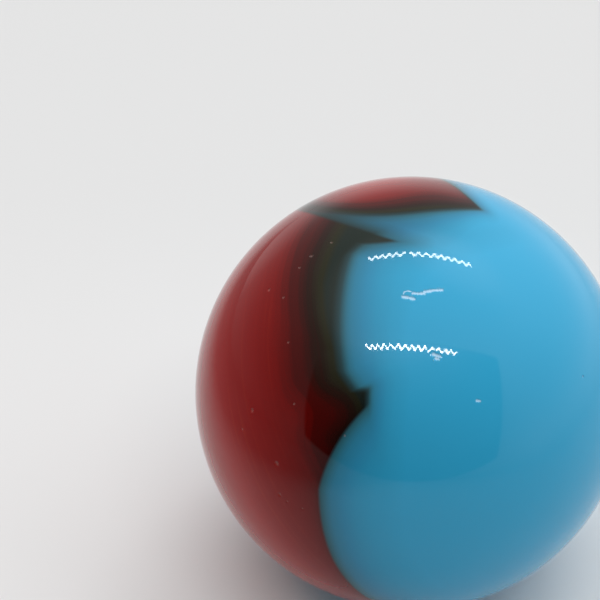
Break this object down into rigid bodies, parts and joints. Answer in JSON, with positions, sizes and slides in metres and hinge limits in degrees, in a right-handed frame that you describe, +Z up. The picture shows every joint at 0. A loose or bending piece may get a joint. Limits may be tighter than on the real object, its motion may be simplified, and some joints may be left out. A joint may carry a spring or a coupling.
{
  "type": "glass marble",
  "caption": "Solid glass ball for games and bench displays, light blue opaque glass with a folded patch of deep red glass.",
  "frame": {"origin": "centre of the ball", "axes": "+Z up; -Y towards the side that shows both glasses; the red glass lies towards -X"},
  "size_m": [0.016, 0.016, 0.016],
  "materials": {
    "opaque_glass": "glossy opaque glass, light blue with a deep red patch"
  },
  "bodies": {
    "root": {"glass_marble": "opaque_glass"}
  },
  "joints": []
}
